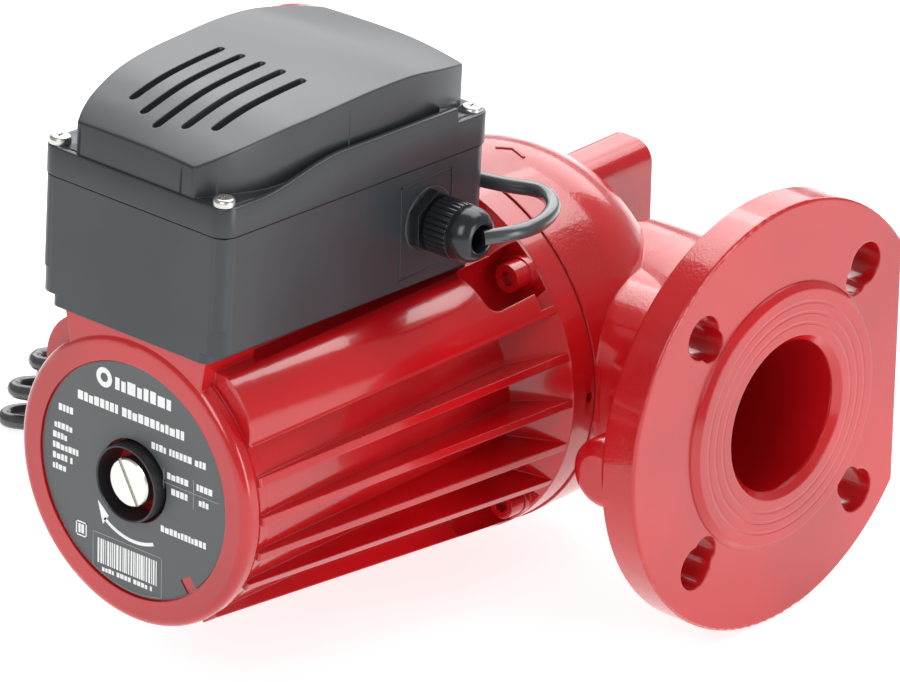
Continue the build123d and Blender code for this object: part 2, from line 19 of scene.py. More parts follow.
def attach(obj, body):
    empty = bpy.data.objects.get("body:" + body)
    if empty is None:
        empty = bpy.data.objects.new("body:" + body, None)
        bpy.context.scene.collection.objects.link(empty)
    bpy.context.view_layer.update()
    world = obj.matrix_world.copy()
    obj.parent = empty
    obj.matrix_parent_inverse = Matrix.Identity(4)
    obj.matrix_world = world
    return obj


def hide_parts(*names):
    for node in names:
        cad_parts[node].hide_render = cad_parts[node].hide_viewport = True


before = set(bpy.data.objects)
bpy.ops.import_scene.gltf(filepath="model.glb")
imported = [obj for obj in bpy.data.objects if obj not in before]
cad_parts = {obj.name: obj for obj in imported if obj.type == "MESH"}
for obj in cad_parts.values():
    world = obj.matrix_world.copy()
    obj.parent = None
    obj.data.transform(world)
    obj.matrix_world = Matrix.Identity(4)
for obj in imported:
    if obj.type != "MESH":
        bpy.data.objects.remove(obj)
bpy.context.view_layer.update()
log = logging.getLogger("pump")

ORIGIN_X = 146.8
TABLE_Z = -92.5
BOX_TILT = math.radians(2.2)
BOX_ORIGIN = np.array([-2.75, -228.7, 119.3])


def to_row(points: np.ndarray) -> np.ndarray:
    """Moves points from the pump's frame in millimetres to the row's frame in metres.

    Args:
        points: array whose last axis is x, y, z.
    Returns:
        An array of the same shape, in metres.
    """
    return (np.asarray(points, float) - np.array([ORIGIN_X, 0.0, 0.0])) / 1000.0


def from_box(points: np.ndarray) -> np.ndarray:
    """Places points of the terminal box's level frame in the pump's frame.

    The box leans back by BOX_TILT about X: y turns down and z leans towards +Y.

    Args:
        points: array whose last axis is x, y along the box, h above its joint line.
    Returns:
        The points in the pump's frame, in millimetres.
    """
    p = np.asarray(points, float)
    c, s = math.cos(BOX_TILT), math.sin(BOX_TILT)
    turned = np.stack([p[..., 0], p[..., 1] * c + p[..., 2] * s, -p[..., 1] * s + p[..., 2] * c], -1)
    return turned + BOX_ORIGIN


def smooth_step(x: np.ndarray, low: float, high: float) -> np.ndarray:
    """Rises from 0 at low to 1 at high along 3t^2 - 2t^3; falls if high is below low."""
    t = np.clip((np.asarray(x, float) - low) / (high - low), 0.0, 1.0)
    return t * t * (3.0 - 2.0 * t)


# ------------------------------------------------------------------ meshes


class Edge(Enum):
    """How sharp corners of a piece are shaded, in degrees."""

    SOFT = 60.0
    MOULDED = 38.0
    CRISP = 25.0


@dataclass
class Shell:
    """Collects grids and prisms in the pump's frame and makes one piece of them."""

    points: list = field(default_factory=list)
    faces: list = field(default_factory=list)
    count: int = 0

    def add(self, points: np.ndarray, faces: list) -> None:
        """Adds points, shape (n, 3), and faces that count from the first of them."""
        self.points.append(np.asarray(points, float).reshape(-1, 3))
        self.faces.extend([tuple(int(i) + self.count for i in face) for face in faces])
        self.count += len(self.points[-1])

    def grid(self, points: np.ndarray, close_rows: bool = False, close_cols: bool = False) -> None:
        """Adds a surface whose points are a grid of rows and columns.

        Args:
            points: array (rows, columns, 3).
            close_rows: join the last row to the first.
            close_cols: join the last column to the first.
        """
        rows, cols = points.shape[:2]
        i = np.arange(rows if close_rows else rows - 1)[:, None]
        j = np.arange(cols if close_cols else cols - 1)[None, :]
        k, m = (i + 1) % rows, (j + 1) % cols
        quads = np.stack([i * cols + j, i * cols + m, k * cols + m, k * cols + j], -1).reshape(-1, 4)
        self.add(points, quads.tolist())

    def turned(self, along: np.ndarray, radius: np.ndarray, origin: tuple, axis: tuple, turns: int = 64) -> None:
        """Adds a profile of radius over distance turned about an axis; its ends lie on the axis or close on themselves.

        Args:
            along: distances along the axis.
            radius: the radius at each distance, or an array (distances, turns).
            origin: a point of the axis.
            axis: the axis's direction.
            turns: points round the axis.
        """
        w = np.asarray(axis, float) / np.linalg.norm(axis)
        u = np.cross(w, [0.0, 0.0, 1.0] if abs(w[2]) < 0.9 else [1.0, 0.0, 0.0])
        u = u / np.linalg.norm(u)
        v = np.cross(w, u)
        a = np.linspace(0.0, 2.0 * np.pi, turns, endpoint=False)
        r = np.asarray(radius, float)
        r = np.broadcast_to(r[:, None] if r.ndim == 1 else r, (len(along), turns))
        spokes = np.cos(a)[None, :, None] * u + np.sin(a)[None, :, None] * v
        grid = np.asarray(origin, float) + np.asarray(along, float)[:, None, None] * w + r[..., None] * spokes
        self.grid(grid, close_cols=True)

    def prism(self, outline: np.ndarray, shift: tuple) -> None:
        """Adds a closed prism: a flat outline (n, 3) carried along shift."""
        ring = np.asarray(outline, float)
        n = len(ring)
        sides = [(i, (i + 1) % n, n + (i + 1) % n, n + i) for i in range(n)]
        caps = [tuple(range(n - 1, -1, -1)), tuple(range(n, 2 * n))]
        self.add(np.concatenate([ring, ring + np.asarray(shift, float)]), sides + caps)

    def bar(self, low: tuple, high: tuple) -> None:
        """Adds a rectangular bar between two opposite corners."""
        (x0, y0, z0), (x1, y1, z1) = low, high
        base = np.array([[x0, y0, z0], [x1, y0, z0], [x1, y1, z0], [x0, y1, z0]])
        self.prism(base, (0.0, 0.0, z1 - z0))

    def piece(self, name: str, body: str, material: bpy.types.Material,
              edge: Edge = Edge.MOULDED, bevel_mm: float = 0.0) -> bpy.types.Object:
        """Makes the object, merges doubled points, turns its faces outwards and puts it on its body.

        Args:
            name: the piece's name.
            body: the body that it rides on.
            material: its finish.
            edge: how sharp corners are shaded.
            bevel_mm: width of a bevel on its sharp edges, or 0.
        Returns:
            The object, at the origin.
        """
        mesh = bpy.data.meshes.new(name)
        mesh.from_pydata(to_row(np.concatenate(self.points)).tolist(), [], self.faces)
        work = bmesh.new()
        work.from_mesh(mesh)
        bmesh.ops.remove_doubles(work, verts=work.verts, dist=2e-6)
        bmesh.ops.recalc_face_normals(work, faces=work.faces)
        work.to_mesh(mesh)
        work.free()
        mesh.shade_smooth()
        mesh.set_sharp_from_angle(angle=math.radians(edge.value))
        mesh.materials.append(material)
        made = bpy.data.objects.new(name, mesh)
        bpy.context.scene.collection.objects.link(made)
        if bevel_mm:
            bevel = made.modifiers.new("edges", "BEVEL")
            bevel.width = bevel_mm / 1000.0
            bevel.segments = 3
            bevel.limit_method = "ANGLE"
            bevel.angle_limit = math.radians(35.0)
            bevel.harden_normals = True
        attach(made, body)
        log.info("%s: %d points", name, len(mesh.vertices))
        return made


# ------------------------------------------------------------------ shader maths


class Value:
    """A socket with arithmetic: an expression on values adds its Math nodes."""

    def __init__(self, nodes: "Nodes", socket: bpy.types.NodeSocket) -> None:
        """Wraps one output socket of a material's nodes."""
        self.nodes = nodes
        self.socket = socket

    def _math(self, operation: str, left: object, right: object = None) -> "Value":
        """One Math node of that operation on one or two operands."""
        inputs = {0: left} if right is None else {0: left, 1: right}
        return self.nodes.add("ShaderNodeMath", {"operation": operation}, inputs)

    def __add__(self, other: object) -> "Value":
        """self + other."""
        return self._math("ADD", self, other)

    def __radd__(self, other: object) -> "Value":
        """other + self."""
        return self._math("ADD", other, self)

    def __sub__(self, other: object) -> "Value":
        """self - other."""
        return self._math("SUBTRACT", self, other)

    def __rsub__(self, other: object) -> "Value":
        """other - self."""
        return self._math("SUBTRACT", other, self)

    def __mul__(self, other: object) -> "Value":
        """self * other."""
        return self._math("MULTIPLY", self, other)

    def __rmul__(self, other: object) -> "Value":
        """other * self."""
        return self._math("MULTIPLY", other, self)

    def __truediv__(self, other: object) -> "Value":
        """self / other."""
        return self._math("DIVIDE", self, other)

    def root(self) -> "Value":
        """Square root."""
        return self._math("SQRT", self)

    def size(self) -> "Value":
        """Absolute value."""
        return self._math("ABSOLUTE", self)

    def sine(self) -> "Value":
        """Sine, in radians."""
        return self._math("SINE", self)

    def least(self, other: object) -> "Value":
        """The lesser of the two."""
        return self._math("MINIMUM", self, other)

    def most(self, other: object) -> "Value":
        """The greater of the two."""
        return self._math("MAXIMUM", self, other)

    def below(self, limit: float) -> "Value":
        """1 where self is less than limit, else 0."""
        return self._math("LESS_THAN", self, limit)

    def ramp(self, low: float, high: float) -> "Value":
        """Smooth rise from 0 at low to 1 at high."""
        settings = {"interpolation_type": "SMOOTHSTEP"}
        return self.nodes.add("ShaderNodeMapRange", settings, {0: self, 1: low, 2: high, 3: 0.0, 4: 1.0})


class Nodes:
    """The nodes of one material, each made by one method."""

    def __init__(self, name: str) -> None:
        """Starts a material of that name with its Principled shader."""
        self.material = bpy.data.materials.new(name)
        self.material.use_nodes = True
        self.tree = self.material.node_tree
        self.shader = next(n for n in self.tree.nodes if n.type == "BSDF_PRINCIPLED")

    def add(self, kind: str, settings: dict, inputs: dict, output: object = 0) -> Value:
        """Adds a node.

        Args:
            kind: the node's type.
            settings: its properties, set first; "stops" sets a ramp's (place, colour) pairs.
            inputs: values or Values by socket name or number.
            output: the socket returned.
        Returns:
            The output as a Value.
        """
        node = self.tree.nodes.new(kind)
        for key, setting in settings.items():
            if key == "stops":
                for element, (place, colour) in zip(node.color_ramp.elements, setting):
                    element.position = place
                    element.color = (*colour, 1.0)
            else:
                setattr(node, key, setting)
        for key, given in inputs.items():
            self.feed(node.inputs[key], given)
        return Value(self, node.outputs[output])

    def feed(self, socket: bpy.types.NodeSocket, given: object) -> None:
        """Links a Value to a socket, or sets the socket's own value."""
        if isinstance(given, Value):
            self.tree.links.new(given.socket, socket)
        elif isinstance(given, tuple) and len(given) == 3 and socket.type == "RGBA":
            socket.default_value = (*given, 1.0)
        else:
            socket.default_value = given

    def place(self) -> Value:
        """Object coordinates, in metres in the row's frame."""
        return self.add("ShaderNodeTexCoord", {}, {}, "Object")

    def axes(self) -> tuple:
        """The three object coordinates in millimetres, X counted from the shaft."""
        split = self.tree.nodes.new("ShaderNodeSeparateXYZ")
        self.feed(split.inputs[0], self.place())
        x, y, z = (Value(self, split.outputs[i]) * 1000.0 for i in range(3))
        return x + ORIGIN_X, y, z

    def noise(self, per_mm: float, detail: float = 3.0, rough: float = 0.5, stretch: tuple = (1.0, 1.0, 1.0)) -> Value:
        """Noise from 0 to 1 with per_mm features in a millimetre, stretched by axis."""
        spot = self.add("ShaderNodeMapping", {}, {"Vector": self.place(), "Scale": stretch})
        return self.add("ShaderNodeTexNoise", {}, {"Vector": spot, "Scale": per_mm * 1000.0, "Detail": detail,
                                                   "Roughness": rough}, "Fac")

    def blend(self, factor: object, first: object, second: object) -> Value:
        """Mixes two colours by factor."""
        return self.add("ShaderNodeMix", {"data_type": "RGBA"}, {0: factor, 6: first, 7: second}, 2)

    def rounded(self, radius_mm: float) -> Value:
        """Normals as if the edges were rounded by radius_mm."""
        return self.add("ShaderNodeBevel", {"samples": 6}, {"Radius": radius_mm / 1000.0}, "Normal")

    def bump(self, height_mm: Value, normal: object = None, strength: float = 1.0) -> Value:
        """Normals of a relief whose height is given in millimetres."""
        inputs = {"Height": height_mm, "Distance": 0.001, "Strength": strength}
        if normal is not None:
            inputs["Normal"] = normal
        return self.add("ShaderNodeBump", {}, inputs, "Normal")

    def finish(self, **sockets: object) -> bpy.types.Material:
        """Feeds the Principled shader's sockets, by name with underscores, and returns the material."""
        for name, given in sockets.items():
            self.feed(self.shader.inputs[name.replace("_", " ")], given)
        return self.material


# ------------------------------------------------------------------ finishes


class Casting(Enum):
    """The skin under the paint: (pebble height in mm, pebbles in a mm, wave height in mm)."""

    SAND_CAST = (0.16, 0.75, 0.30)
    DIE_CAST = (0.010, 0.9, 0.09)


@dataclass(frozen=True)
class RedEnamel:
    """Gloss red enamel over a casting."""

    name: str
    casting: Casting
    colour: tuple = (0.52, 0.006, 0.010)
    shade: tuple = (0.42, 0.004, 0.007)
    edge_mm: float = 1.1
    face_rings: bool = False

    def material(self) -> bpy.types.Material:
        """Red with a slight drift of tone, pebbled by the casting, glossy on top."""
        n = Nodes(self.name)
        pebble, per_mm, wave = self.casting.value
        coarse = n.noise(0.012, 2.0)
        fine = n.noise(per_mm, 2.0, 0.6)
        patch = n.noise(0.05, 2.0).ramp(0.42, 0.62)
        height = fine * (patch * pebble * 0.7 + pebble * 0.3) + n.noise(0.06, 1.0) * wave
        colour = n.blend(coarse.ramp(0.35, 0.7), self.colour, self.shade)
        if self.face_rings:
            x, y, z = n.axes()
            radius = (y * y + z * z).root()
            on_face = 1.0 - (x.size() - 150.0).size().ramp(0.2, 0.6)
            rings = 1.0 - (radius - 40.5).size().ramp(0.3, 0.9)
            for ring_r in (45.0, 49.5):
                rings = rings.most(1.0 - (radius - ring_r).size().ramp(0.3, 0.9))
            machined = (x.size() - 146.0).ramp(0.0, 0.6)
            height = height * (1.0 - machined * 0.75) - rings * on_face * 0.22
        normal = n.bump(height, n.rounded(self.edge_mm))
        return n.finish(Base_Color=colour, Roughness=0.13 + fine * 0.08 + coarse * 0.05, Coat_Weight=0.5, Coat_Roughness=0.05,
                        Normal=normal)


@dataclass(frozen=True)
class Plastic:
    """Moulded plastic with a fine grain."""

    name: str
    colour: tuple
    roughness: float
    grain_mm: float = 0.012
    per_mm: float = 2.2
    edge_mm: float = 0.5
    coat: float = 0.0

    def material(self) -> bpy.types.Material:
        """One colour with a faint cloudiness and the grain of the mould."""
        n = Nodes(self.name)
        cloud = n.noise(0.02, 3.0)
        grain = n.noise(self.per_mm, 2.0)
        light = tuple(min(1.0, c * 1.10 + 0.002) for c in self.colour)
        dark = tuple(c * 0.90 for c in self.colour)
        normal = n.bump(grain * self.grain_mm, n.rounded(self.edge_mm))
        return n.finish(Base_Color=n.blend(cloud.ramp(0.3, 0.7), dark, light),
                        Roughness=self.roughness - 0.04 + cloud * 0.05 + grain * 0.05, Coat_Weight=self.coat,
                        Coat_Roughness=0.15, Normal=normal)


@dataclass(frozen=True)
class Metal:
    """Bare or plated metal, brushed or turned about the shaft."""

    name: str
    colour: tuple
    roughness: float
    stretch: tuple = (1.0, 1.0, 1.0)
    scratch_mm: float = 0.004
    edge_mm: float = 0.25
    turned: bool = False
    laminated: bool = False

    def material(self) -> bpy.types.Material:
        """Metal with tool marks along one way, round the shaft, or laminations across it."""
        n = Nodes(self.name)
        stain = n.noise(0.04, 4.0)
        lines = n.noise(1.4, 3.0, 0.7, self.stretch)
        if self.turned or self.laminated:
            x, y, z = n.axes()
            along = y * 4.5 if self.laminated else (x * x + z * z).root() * 9.0
            lines = along.sine() * 0.5 + lines * 0.5
        normal = n.bump(lines * (self.scratch_mm * (6.0 if self.laminated else 1.0)), n.rounded(self.edge_mm))
        dull = tuple(c * 0.82 for c in self.colour)
        return n.finish(Base_Color=n.blend(stain.ramp(0.35, 0.75), self.colour, dull), Metallic=1.0,
                        Roughness=self.roughness + stain * 0.10 + lines * 0.04, Normal=normal)


@dataclass(frozen=True)
class Winding:
    """Enamelled copper wire laid round the stator under varnish."""

    name: str
    colour: tuple = (0.46, 0.15, 0.05)

    def material(self) -> bpy.types.Material:
        """Rows of wire as waves over the radius and the length, with painted shade: the copper is darker in the grooves
        between them.
        """
        n = Nodes(self.name)
        x, y, z = n.axes()
        radius = (x * x + z * z).root()
        wires = (radius * 6.5 + n.noise(0.08, 2.0) * 9.0).sine() * 0.5 + (y * 6.5).sine() * 0.5
        normal = n.bump(wires * 0.22)
        # painted shade: the colour falls to a darker copy of the copper in the troughs of the wire relief
        return n.finish(Base_Color=n.blend(wires.ramp(-0.6, 0.6), (0.20, 0.06, 0.02), self.colour),
                        Roughness=0.30 + wires * 0.05, Metallic=0.35, Coat_Weight=0.5, Coat_Roughness=0.12,
                        Normal=normal)


@dataclass(frozen=True)
class Rubber:
    """Soft black rubber or the satin jacket of a lead."""

    name: str
    colour: tuple
    roughness: float
    coat: float = 0.0

    def material(self) -> bpy.types.Material:
        """Dark with a bloom of fine dust."""
        n = Nodes(self.name)
        bloom = n.noise(0.09, 4.0)
        light = tuple(min(1.0, c * 1.35 + 0.004) for c in self.colour)
        normal = n.bump(n.noise(1.1, 2.0) * 0.018 + n.noise(0.12, 1.0) * 0.05)
        return n.finish(Base_Color=n.blend(bloom.ramp(0.4, 0.8), self.colour, light),
                        Roughness=self.roughness + bloom * 0.10, Coat_Weight=self.coat, Coat_Roughness=0.2,
                        Normal=normal)


@dataclass(frozen=True)
class Film:
    """Printed film of the rating label, or the ink on it."""

    name: str
    colour: tuple
    roughness: float = 0.42

    def material(self) -> bpy.types.Material:
        """Even colour with a faint orange peel."""
        n = Nodes(self.name)
        tone = n.noise(0.03, 2.0)
        light = tuple(min(1.0, c * 1.08) for c in self.colour)
        return n.finish(Base_Color=n.blend(tone.ramp(0.3, 0.7), self.colour, light),
                        Roughness=self.roughness + tone * 0.06, Normal=n.bump(n.noise(0.8, 1.0) * 0.008))


class Finishes:
    """Every finish of the pump, made once."""

    def __init__(self) -> None:
        """Makes the materials by name."""
        slate = (0.031, 0.037, 0.043)
        made = [
            RedEnamel("red_enamel_sand_cast", Casting.SAND_CAST, edge_mm=1.3, face_rings=True),
            RedEnamel("red_enamel_die_cast", Casting.DIE_CAST, edge_mm=0.9),
            RedEnamel("red_enamel_bolts", Casting.DIE_CAST, edge_mm=0.6),
            Plastic("slate_moulding", slate, 0.30, 0.006, 2.4, 0.6),
            Plastic("black_nylon", (0.012, 0.014, 0.017), 0.20, 0.010, 1.6, 0.35),
            Plastic("black_collar", (0.020, 0.021, 0.024), 0.28, 0.006, 1.6, 0.5),
            Plastic("glass_filled_black", (0.032, 0.033, 0.036), 0.48, 0.03, 1.2, 0.4),
            Plastic("terminal_grey", (0.46, 0.46, 0.43), 0.42, 0.010, 1.4, 0.4),
            Plastic("capacitor_white", (0.74, 0.74, 0.71), 0.30, 0.006, 1.0, 0.5),
            Plastic("bearing_carbon", (0.045, 0.046, 0.050), 0.34, 0.02, 2.0, 0.2),
            Plastic("ring_groove_shadow", (0.012, 0.012, 0.013), 0.55),
            Metal("nickel_plate", (0.74, 0.73, 0.70), 0.24, turned=True),
            Metal("zinc_plate", (0.60, 0.61, 0.62), 0.34),
            Metal("stainless_sheet", (0.56, 0.56, 0.57), 0.26, (1.0, 12.0, 12.0)),
            Metal("shaft_steel", (0.60, 0.60, 0.61), 0.16, (12.0, 1.0, 12.0)),
            Metal("lamination_steel", (0.22, 0.23, 0.25), 0.42, laminated=True),
            Metal("bronze", (0.62, 0.40, 0.18), 0.28, turned=True),
            Metal("turned_brass", (0.72, 0.52, 0.22), 0.24),
            Rubber("black_rubber", (0.018, 0.018, 0.019), 0.62),
            Rubber("lead_jacket", (0.040, 0.043, 0.047), 0.16, 0.5),
            Rubber("plug_rubber", (0.022, 0.023, 0.025), 0.42),
            Winding("copper_winding"),
            Film("label_film", (0.085, 0.094, 0.098)),
            Film("label_ink", (0.82, 0.83, 0.83), 0.36),
            Film("label_line", (0.30, 0.31, 0.32), 0.40),
        ]
        self.by_name = {finish.name: finish.material() for finish in made}

    def get(self, name: str) -> bpy.types.Material:
        """The material of that name."""
        return self.by_name[name]


NODE_FINISH = {
    "pump_casing": "red_enamel_sand_cast", "motor_housing": "red_enamel_die_cast",
    "housing_bolts": "red_enamel_bolts", "wear_ring": "bronze", "casing_gasket": "black_rubber",
    "stator_core": "lamination_steel", "winding_front": "copper_winding", "winding_rear": "copper_winding",
    "rotor_can": "stainless_sheet", "bearing_plate": "stainless_sheet", "front_bearing": "bearing_carbon",
    "rear_bearing": "bearing_carbon", "rating_label": "label_film", "plug_collar": "black_collar",
    "shaft": "shaft_steel", "rotor_core": "lamination_steel", "thrust_disc": "bearing_carbon",
    "impeller": "glass_filled_black", "impeller_cover": "glass_filled_black", "impeller_nut": "stainless_sheet",
    "vent_plug": "nickel_plate", "vent_plug_seal": "black_rubber", "terminal_box_base": "slate_moulding",
    "box_fixing_screws": "zinc_plate", "box_gasket": "black_rubber", "terminal_box_cover": "slate_moulding",
    "cover_screws": "nickel_plate", "terminal_block": "terminal_grey", "terminal_screws": "turned_brass",
    "earth_screw": "turned_brass", "capacitor": "capacitor_white", "capacitor_clip": "zinc_plate",
    "gland_body": "black_nylon", "gland_locknut": "black_nylon", "gland_seal": "black_rubber",
    "gland_nut": "black_nylon", "power_lead": "lead_jacket", "lead_coil": "lead_jacket",
    "lead_tail": "lead_jacket", "mains_plug": "plug_rubber", "plug_pins": "nickel_plate",
}


def dress_nodes(finishes: Finishes) -> None:
    """Gives every solid of the frame its finish."""
    for name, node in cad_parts.items():
        node.data.materials.clear()
        node.data.materials.append(finishes.get(NODE_FINISH[name]))


# ------------------------------------------------------------------ cover of the terminal box


@dataclass
class TerminalBoxCover:
    """Crowned cover: a skirt with low corners and side channels, and a dome with five blind slots."""

    finishes: Finishes
    half_x: float = 50.25
    length: float = 159.5
    corner_r: float = 7.5
    low: float = 12.5
    rear_low: float = 13.7
    high: float = 20.0
    channel_depth: float = 4.0
    dome_front: float = 1.2
    dome_rear: float = 153.5
    plan: tuple = ((0.0, 31.2), (1.2, 31.7), (7.5, 35.2), (14.0, 38.0), (28.0, 41.8), (50.0, 44.5), (80.0, 45.3),
                   (110.0, 45.0), (130.0, 43.4), (143.0, 41.0), (153.5, 38.0), (160.0, 36.0))
    edge_r: float = 0.6
    plan_r: float = 0.9
    wall: float = 2.6
    drop_share: tuple = (0.30, 1.10)
    slot_x: tuple = (-22.0, -11.0, 0.0, 11.0, 22.0)
    slot_front: tuple = (22.0, 16.5, 12.0, 17.0, 22.5)
    slot_rear: float = 75.0
    slot_half: float = 1.7
    slot_depth: float = 3.4

    def ledge(self, y: np.ndarray) -> np.ndarray:
        """Height of the skirt: low in front, a smooth rise to the sides' height, a step down at the back."""
        rise = self.low + (self.high - self.low) * smooth_step(y, 20.0, 70.0)
        return rise + (self.rear_low - self.high) * smooth_step(y, 137.6, 138.4)

    def outline(self, inset: float, side: int = 118, corner: int = 9) -> np.ndarray:
        """Rounded rectangle of the skirt drawn in by inset, as points (n, 2) round it."""
        r = max(self.corner_r - inset, 0.4)
        x1, y0, y1 = self.half_x - inset, inset, self.length - inset
        a = np.linspace(0.0, np.pi / 2, corner)
        y_side = np.linspace(y0 + r, y1 - r, side)[1:-1]
        x_side = np.linspace(-x1 + r, x1 - r, 24)[1:-1]
        front_right = np.stack([x1 - r + r * np.sin(a), y0 + r - r * np.cos(a)], -1)
        rear_right = np.stack([x1 - r + r * np.cos(a), y1 - r + r * np.sin(a)], -1)
        right = np.concatenate([front_right, np.stack([np.full_like(y_side, x1), y_side], -1), rear_right])
        left = right[::-1] * np.array([-1.0, 1.0])
        rear = np.stack([x_side[::-1], np.full_like(x_side, y1)], -1)
        front = np.stack([x_side, np.full_like(x_side, y0)], -1)
        return np.concatenate([right, rear, left, front])

    def skirt(self, shell: Shell) -> None:
        """Adds the skirt: a profile of inset and height carried round the outline, with the side channels."""
        rows = []
        steps = [(2.6, 0, 0.0), (0.3, 0, 0.0), (0.0, 0, 0.3), (0.0, 1, -0.9), (0.26, 1, -0.26), (0.9, 1, 0.0),
                 (2.3, 1, 0.0), (2.6, 1, -0.1), (2.8, 2, -0.4), (3.0, 3, 0.3), (3.4, 3, 0.0), (19.5, 3, 0.0),
                 (19.5, 3, -2.4), (2.6, 3, -2.4)]
        for inset, rule, lift in steps:
            xy = self.outline(inset)
            top = self.ledge(xy[:, 1])
            along = smooth_step(xy[:, 1], 12.0, 50.0) * smooth_step(xy[:, 1], 137.4, 136.0)
            channel = self.channel_depth * along * (np.abs(xy[:, 0]) > 30.0)
            height = [np.zeros_like(top), top, top - 0.4 * np.minimum(channel, 1.0), top - channel][rule] + lift
            rows.append(np.concatenate([xy, height[:, None]], -1))
        shell.grid(from_box(np.stack(rows)), close_rows=True, close_cols=True)

    def crest(self, y: np.ndarray) -> np.ndarray:
        """Height of the dome's middle line, a smooth curve through its measured stations."""
        return self.through(y, ((0.0, 25.9), (1.2, 26.4), (8.0, 29.0), (15.0, 31.4), (24.0, 34.0), (33.0, 36.4),
                                (41.0, 38.1), (58.0, 40.2), (75.0, 41.4), (95.0, 42.5), (115.0, 42.1), (135.0, 39.0),
                                (153.5, 35.2), (160.0, 33.6)))

    def through(self, y: np.ndarray, stations: tuple) -> np.ndarray:
        """A smooth curve through (place, value) stations: cubic pieces whose slopes agree at the stations."""
        places, heights = np.array(stations).T
        slopes = np.gradient(heights, places)
        i = np.clip(np.searchsorted(places, y) - 1, 0, len(places) - 2)
        gap = places[i + 1] - places[i]
        t = (y - places[i]) / gap
        return ((2 * t**3 - 3 * t**2 + 1) * heights[i] + (t**3 - 2 * t**2 + t) * gap * slopes[i]
                + (3 * t**2 - 2 * t**3) * heights[i + 1] + (t**3 - t**2) * gap * slopes[i + 1])

    def dome_grid(self, inset: float, slots: bool) -> np.ndarray:
        """Grid of the dome's top draped down its four walls.

        The height at a point is the crest less a drop that grows with the square of the distance
        across, so the top is crowned. The plan is bell-shaped: narrow between the front screws. Near an edge
        it rounds over by a quarter circle, and the last row and column run down the wall. Corners
        of the plan are squeezed from a square to a quarter disc. Each slot sinks inside a capsule.

        Args:
            inset: how far inside the outer skin the surface lies.
            slots: whether the slots are cut.
        Returns:
            An array (rows, columns, 3) in the box's frame.
        """
        near = np.array([0.0, 0.08, 0.2, 0.38, 0.6, 1.6])
        slot_steps = np.array([-2.6, -2.1, -1.85, -1.65, -1.45, -1.2, -0.6, 0.0, 0.6, 1.2, 1.45, 1.65, 1.85, 2.1, 2.6])
        half = 45.3 - inset
        columns = np.concatenate([-half + near, half - near, np.linspace(-half + 4.0, half - 4.0, 24),
                                  (np.array(self.slot_x)[:, None] + slot_steps).ravel()])
        columns = np.unique(np.round(columns, 3))
        front, rear = self.dome_front + inset, self.dome_rear - inset
        rows = np.concatenate([front + near, rear - near, np.arange(front + 3.5, 8.0, 1.5), np.arange(8.0, 24.0, 0.5),
                               np.arange(24.0, 71.0, 2.0), np.arange(71.0, 78.0, 0.4), np.arange(80.0, rear - 3.0, 3.0)])
        rows = np.unique(np.round(rows, 3))
        xs, y = np.meshgrid(columns, rows)
        width = self.through(y, self.plan) - inset
        spread = np.maximum(np.abs(xs) - 25.0, 0.0) * (width - 25.0) / (half - 25.0)
        x = np.sign(xs) * (np.minimum(np.abs(xs), 25.0) + spread)
        drop = 1.2 + 2.2 * smooth_step(y, 0.0, 60.0)
        share = np.where(x < 0.0, self.drop_share[0], self.drop_share[1])
        top = self.crest(y) - inset - share * drop * (np.abs(x) / width) ** 2.0
        if slots:
            for slot_x, slot_front in zip(self.slot_x, self.slot_front):
                end = np.clip(y, slot_front + self.slot_half, self.slot_rear - self.slot_half)
                reach = np.hypot(x - slot_x, y - end) - self.slot_half
                top = top - self.slot_depth * smooth_step(reach, 0.22, -0.22)
        gap_x, gap_y = width - np.abs(x), np.minimum(y - front, rear - y)
        gap = np.minimum(gap_x, gap_y)
        r = self.edge_r
        top = top - (r - np.sqrt(np.maximum(r * r - np.maximum(r - gap, 0.0) ** 2, 0.0)))
        pr = self.plan_r
        in_x, in_y = np.clip(pr - gap_x, 0.0, pr), np.clip(pr - gap_y, 0.0, pr)
        squeeze = np.maximum(in_x, in_y) / np.maximum(np.hypot(in_x, in_y), 1e-9)
        corner = (in_x > 0) & (in_y > 0)
        x = np.where(corner, np.sign(x) * (width - pr + in_x * squeeze), x)
        middle = np.where(y < (front + rear) / 2, front + pr, rear - pr)
        y = np.where(corner, middle + np.sign(y - middle) * in_y * squeeze, y)
        grid = np.stack([x, y, top], -1)
        grid = np.concatenate([grid[:1], grid, grid[-1:]], 0)
        grid = np.concatenate([grid[:, :1], grid, grid[:, -1:]], 1)
        grid[0, :, 2] = grid[-1, :, 2] = grid[:, 0, 2] = grid[:, -1, 2] = 7.0
        return grid

    def dome(self, shell: Shell) -> None:
        """Adds the dome as a wall between an outer and an inner skin, joined along their rims."""
        for grid in (self.dome_grid(0.0, True), self.dome_grid(self.wall + 3.4, False)):
            shell.grid(from_box(grid))
        outer, inner = (self.rim(self.dome_grid(0.0, True)), self.rim(self.dome_grid(self.wall + 3.4, False)))
        places = np.linspace(0.0, 1.0, 400, endpoint=False)
        shell.grid(from_box(np.stack([self.around(outer, places), self.around(inner, places)])), close_cols=True)

    def rim(self, grid: np.ndarray) -> np.ndarray:
        """The border points of a grid, in order."""
        return np.concatenate([grid[0, :-1], grid[:-1, -1], grid[-1, :0:-1], grid[:0:-1, 0]])

    def around(self, loop: np.ndarray, places: np.ndarray) -> np.ndarray:
        """Points at shares of the way round a closed loop."""
        closed = np.concatenate([loop, loop[:1]])
        run = np.concatenate([[0.0], np.cumsum(np.linalg.norm(np.diff(closed, axis=0), axis=1))])
        return np.stack([np.interp(places * run[-1], run, closed[:, k]) for k in range(3)], -1)

